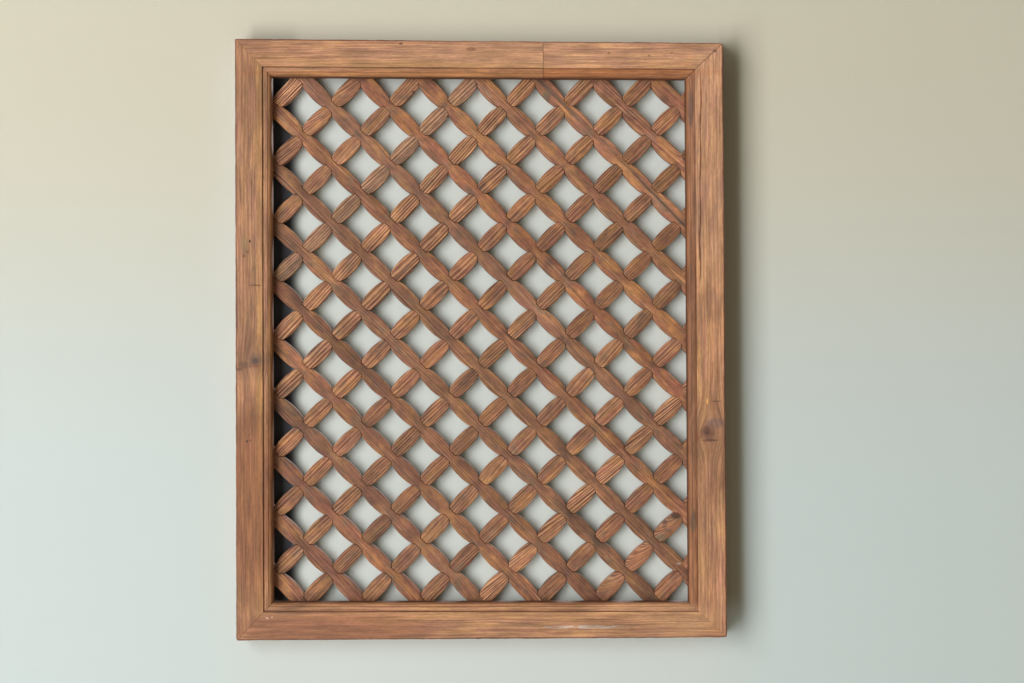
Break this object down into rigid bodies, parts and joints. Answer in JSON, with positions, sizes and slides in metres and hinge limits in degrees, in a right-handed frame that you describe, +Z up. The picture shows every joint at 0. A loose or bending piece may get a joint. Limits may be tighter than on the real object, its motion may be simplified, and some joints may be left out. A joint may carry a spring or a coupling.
{
  "type": "wooden lattice screen",
  "caption": "Rectangular screen for a wall: scalloped slats cross on the diagonal as an open lattice, half lapped, in a mitred frame with a moulded inner edge.",
  "frame": {"origin": "on the flat back of the top rail, on the panel's centre line, where the screen is fixed to a wall", "axes": "+X to the right seen from the front, +Y back into the wall, +Z up"},
  "size_m": [0.602, 0.032, 0.7395],
  "materials": {
    "frame_wood": "worn, unvarnished hardwood, planed, with open grain, knots and checks",
    "slat_wood": "worn, unvarnished hardwood, redder and darker than the frame, with ridged grain"
  },
  "bodies": {
    "root": {"left_stile": "frame_wood", "right_stile": "frame_wood", "bottom_rail": "frame_wood", "top_rail_left": "frame_wood", "top_rail_right": "frame_wood", "falling_slat_01": "slat_wood", "falling_slat_02": "slat_wood", "falling_slat_03": "slat_wood", "falling_slat_04": "slat_wood", "falling_slat_05": "slat_wood", "falling_slat_06": "slat_wood", "falling_slat_07": "slat_wood", "falling_slat_08": "slat_wood", "falling_slat_09": "slat_wood", "falling_slat_10": "slat_wood", "falling_slat_11": "slat_wood", "falling_slat_12": "slat_wood", "falling_slat_13": "slat_wood", "falling_slat_14": "slat_wood", "falling_slat_15": "slat_wood", "falling_slat_16": "slat_wood", "rising_slat_01": "slat_wood", "rising_slat_02": "slat_wood", "rising_slat_03": "slat_wood", "rising_slat_04": "slat_wood", "rising_slat_05": "slat_wood", "rising_slat_06": "slat_wood", "rising_slat_07": "slat_wood", "rising_slat_08": "slat_wood", "rising_slat_09": "slat_wood", "rising_slat_10": "slat_wood", "rising_slat_11": "slat_wood", "rising_slat_12": "slat_wood", "rising_slat_13": "slat_wood", "rising_slat_14": "slat_wood", "rising_slat_15": "slat_wood", "rising_slat_16": "slat_wood"}
  },
  "joints": []
}
